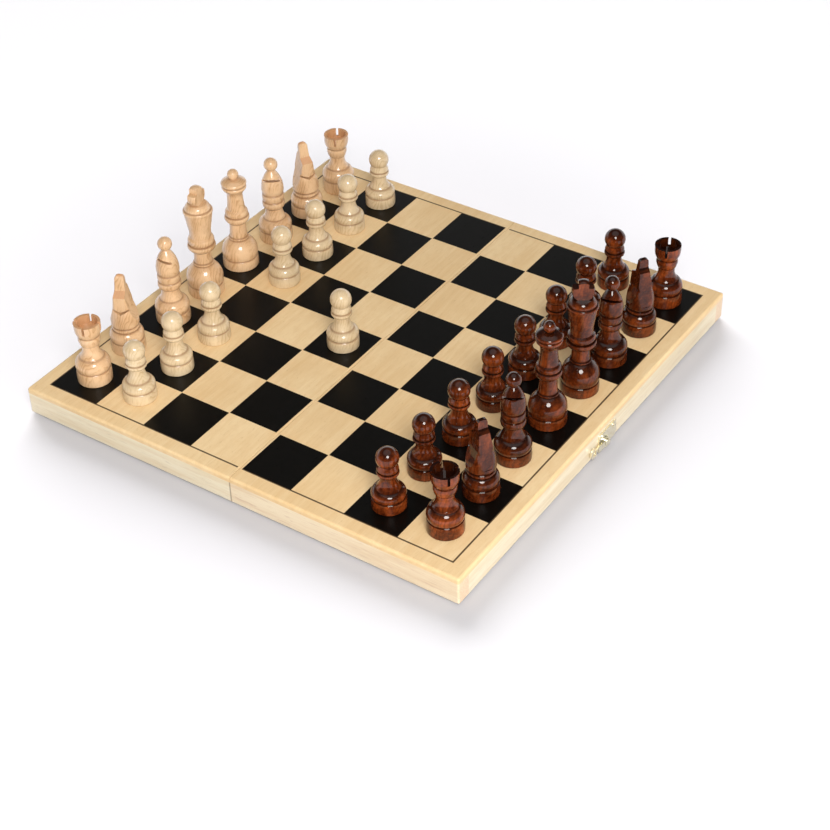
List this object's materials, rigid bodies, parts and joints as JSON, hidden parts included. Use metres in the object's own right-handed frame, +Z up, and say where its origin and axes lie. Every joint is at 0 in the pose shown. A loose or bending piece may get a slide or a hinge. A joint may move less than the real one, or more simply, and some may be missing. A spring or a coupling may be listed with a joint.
{
  "type": "chess set",
  "caption": "Folding wooden chess board with brass hinges and a hook clasp, set up with turned pale and red-brown chessmen.",
  "frame": {"origin": "middle of the open board, on the plane that its rims rest on", "axes": "+X from the white end to the black end, +Y along the fold, +Z up"},
  "size_m": [0.2625, 0.257, 0.0807],
  "materials": {
    "panel_veneer": "satin lacquered veneer with black printed squares",
    "rail_wood": "sanded and lacquered",
    "brass": "bright plated",
    "pale_lacquer": "clear gloss lacquer",
    "red_varnish": "red-brown gloss varnish"
  },
  "bodies": {
    "white_half": {"white_panel": "panel_veneer", "white_end_rail": "rail_wood", "white_hinge_rail": "rail_wood", "white_near_rail": "rail_wood", "white_far_rail": "rail_wood", "white_hinge_leaf_near": "brass", "white_hinge_leaf_far": "brass", "white_hinge_screws": "brass", "hinge_pin_near": "brass", "hinge_pin_far": "brass", "catch_plate": "brass", "catch_stud": "brass", "catch_screws": "brass"},
    "black_half": {"black_panel": "panel_veneer", "black_end_rail": "rail_wood", "black_hinge_rail": "rail_wood", "black_near_rail": "rail_wood", "black_far_rail": "rail_wood", "black_hinge_leaf_near": "brass", "black_hinge_leaf_far": "brass", "black_hinge_screws": "brass", "clasp_plate": "brass", "clasp_rivet": "brass", "clasp_screws": "brass"},
    "hook": {"clasp_hook": "brass"},
    "white_rook_1_body": {"white_rook_1": "pale_lacquer"},
    "white_rook_2_body": {"white_rook_2": "pale_lacquer"},
    "white_knight_1_body": {"white_knight_1": "pale_lacquer"},
    "white_knight_2_body": {"white_knight_2": "pale_lacquer"},
    "white_bishop_1_body": {"white_bishop_1": "pale_lacquer"},
    "white_bishop_2_body": {"white_bishop_2": "pale_lacquer"},
    "white_queen_body": {"white_queen": "pale_lacquer"},
    "white_king_body": {"white_king": "pale_lacquer"},
    "white_pawn_1_body": {"white_pawn_1": "pale_lacquer"},
    "white_pawn_2_body": {"white_pawn_2": "pale_lacquer"},
    "white_pawn_3_body": {"white_pawn_3": "pale_lacquer"},
    "white_pawn_4_body": {"white_pawn_4": "pale_lacquer"},
    "white_pawn_5_body": {"white_pawn_5": "pale_lacquer"},
    "white_pawn_6_body": {"white_pawn_6": "pale_lacquer"},
    "white_pawn_7_body": {"white_pawn_7": "pale_lacquer"},
    "white_pawn_8_body": {"white_pawn_8": "pale_lacquer"},
    "black_rook_1_body": {"black_rook_1": "red_varnish"},
    "black_rook_2_body": {"black_rook_2": "red_varnish"},
    "black_knight_1_body": {"black_knight_1": "red_varnish"},
    "black_knight_2_body": {"black_knight_2": "red_varnish"},
    "black_bishop_1_body": {"black_bishop_1": "red_varnish"},
    "black_bishop_2_body": {"black_bishop_2": "red_varnish"},
    "black_queen_body": {"black_queen": "red_varnish"},
    "black_king_body": {"black_king": "red_varnish"},
    "black_pawn_1_body": {"black_pawn_1": "red_varnish"},
    "black_pawn_2_body": {"black_pawn_2": "red_varnish"},
    "black_pawn_3_body": {"black_pawn_3": "red_varnish"},
    "black_pawn_4_body": {"black_pawn_4": "red_varnish"},
    "black_pawn_5_body": {"black_pawn_5": "red_varnish"},
    "black_pawn_6_body": {"black_pawn_6": "red_varnish"},
    "black_pawn_7_body": {"black_pawn_7": "red_varnish"},
    "black_pawn_8_body": {"black_pawn_8": "red_varnish"}
  },
  "joints": [
    {"name": "fold", "type": "hinge", "parent": "white_half", "child": "black_half", "pos_m": [0, 0, 0], "axis": [0, 1, 0], "range_deg": [0, 180]},
    {"name": "clasp_turn", "type": "hinge", "parent": "black_half", "child": "hook", "pos_m": [0.1299, 0.0015, 0.0036], "axis": [1, 0, 0], "range_deg": [0, 90]},
    {"name": "lift_white_rook_1", "type": "slide", "parent": "white_half", "child": "white_rook_1_body", "axis": [0, 0, 1], "range_m": [0, 0.07]},
    {"name": "lift_white_rook_2", "type": "slide", "parent": "white_half", "child": "white_rook_2_body", "axis": [0, 0, 1], "range_m": [0, 0.07]},
    {"name": "lift_white_knight_1", "type": "slide", "parent": "white_half", "child": "white_knight_1_body", "axis": [0, 0, 1], "range_m": [0, 0.07]},
    {"name": "lift_white_knight_2", "type": "slide", "parent": "white_half", "child": "white_knight_2_body", "axis": [0, 0, 1], "range_m": [0, 0.07]},
    {"name": "lift_white_bishop_1", "type": "slide", "parent": "white_half", "child": "white_bishop_1_body", "axis": [0, 0, 1], "range_m": [0, 0.07]},
    {"name": "lift_white_bishop_2", "type": "slide", "parent": "white_half", "child": "white_bishop_2_body", "axis": [0, 0, 1], "range_m": [0, 0.07]},
    {"name": "lift_white_queen", "type": "slide", "parent": "white_half", "child": "white_queen_body", "axis": [0, 0, 1], "range_m": [0, 0.07]},
    {"name": "lift_white_king", "type": "slide", "parent": "white_half", "child": "white_king_body", "axis": [0, 0, 1], "range_m": [0, 0.07]},
    {"name": "lift_white_pawn_1", "type": "slide", "parent": "white_half", "child": "white_pawn_1_body", "axis": [0, 0, 1], "range_m": [0, 0.07]},
    {"name": "lift_white_pawn_2", "type": "slide", "parent": "white_half", "child": "white_pawn_2_body", "axis": [0, 0, 1], "range_m": [0, 0.07]},
    {"name": "lift_white_pawn_3", "type": "slide", "parent": "white_half", "child": "white_pawn_3_body", "axis": [0, 0, 1], "range_m": [0, 0.07]},
    {"name": "lift_white_pawn_4", "type": "slide", "parent": "white_half", "child": "white_pawn_4_body", "axis": [0, 0, 1], "range_m": [0, 0.07]},
    {"name": "lift_white_pawn_5", "type": "slide", "parent": "white_half", "child": "white_pawn_5_body", "axis": [0, 0, 1], "range_m": [0, 0.07]},
    {"name": "lift_white_pawn_6", "type": "slide", "parent": "white_half", "child": "white_pawn_6_body", "axis": [0, 0, 1], "range_m": [0, 0.07]},
    {"name": "lift_white_pawn_7", "type": "slide", "parent": "white_half", "child": "white_pawn_7_body", "axis": [0, 0, 1], "range_m": [0, 0.07]},
    {"name": "lift_white_pawn_8", "type": "slide", "parent": "white_half", "child": "white_pawn_8_body", "axis": [0, 0, 1], "range_m": [0, 0.07]},
    {"name": "lift_black_rook_1", "type": "slide", "parent": "black_half", "child": "black_rook_1_body", "axis": [0, 0, 1], "range_m": [0, 0.07]},
    {"name": "lift_black_rook_2", "type": "slide", "parent": "black_half", "child": "black_rook_2_body", "axis": [0, 0, 1], "range_m": [0, 0.07]},
    {"name": "lift_black_knight_1", "type": "slide", "parent": "black_half", "child": "black_knight_1_body", "axis": [0, 0, 1], "range_m": [0, 0.07]},
    {"name": "lift_black_knight_2", "type": "slide", "parent": "black_half", "child": "black_knight_2_body", "axis": [0, 0, 1], "range_m": [0, 0.07]},
    {"name": "lift_black_bishop_1", "type": "slide", "parent": "black_half", "child": "black_bishop_1_body", "axis": [0, 0, 1], "range_m": [0, 0.07]},
    {"name": "lift_black_bishop_2", "type": "slide", "parent": "black_half", "child": "black_bishop_2_body", "axis": [0, 0, 1], "range_m": [0, 0.07]},
    {"name": "lift_black_queen", "type": "slide", "parent": "black_half", "child": "black_queen_body", "axis": [0, 0, 1], "range_m": [0, 0.07]},
    {"name": "lift_black_king", "type": "slide", "parent": "black_half", "child": "black_king_body", "axis": [0, 0, 1], "range_m": [0, 0.07]},
    {"name": "lift_black_pawn_1", "type": "slide", "parent": "black_half", "child": "black_pawn_1_body", "axis": [0, 0, 1], "range_m": [0, 0.07]},
    {"name": "lift_black_pawn_2", "type": "slide", "parent": "black_half", "child": "black_pawn_2_body", "axis": [0, 0, 1], "range_m": [0, 0.07]},
    {"name": "lift_black_pawn_3", "type": "slide", "parent": "black_half", "child": "black_pawn_3_body", "axis": [0, 0, 1], "range_m": [0, 0.07]},
    {"name": "lift_black_pawn_4", "type": "slide", "parent": "black_half", "child": "black_pawn_4_body", "axis": [0, 0, 1], "range_m": [0, 0.07]},
    {"name": "lift_black_pawn_5", "type": "slide", "parent": "black_half", "child": "black_pawn_5_body", "axis": [0, 0, 1], "range_m": [0, 0.07]},
    {"name": "lift_black_pawn_6", "type": "slide", "parent": "black_half", "child": "black_pawn_6_body", "axis": [0, 0, 1], "range_m": [0, 0.07]},
    {"name": "lift_black_pawn_7", "type": "slide", "parent": "black_half", "child": "black_pawn_7_body", "axis": [0, 0, 1], "range_m": [0, 0.07]},
    {"name": "lift_black_pawn_8", "type": "slide", "parent": "black_half", "child": "black_pawn_8_body", "axis": [0, 0, 1], "range_m": [0, 0.07]}
  ]
}
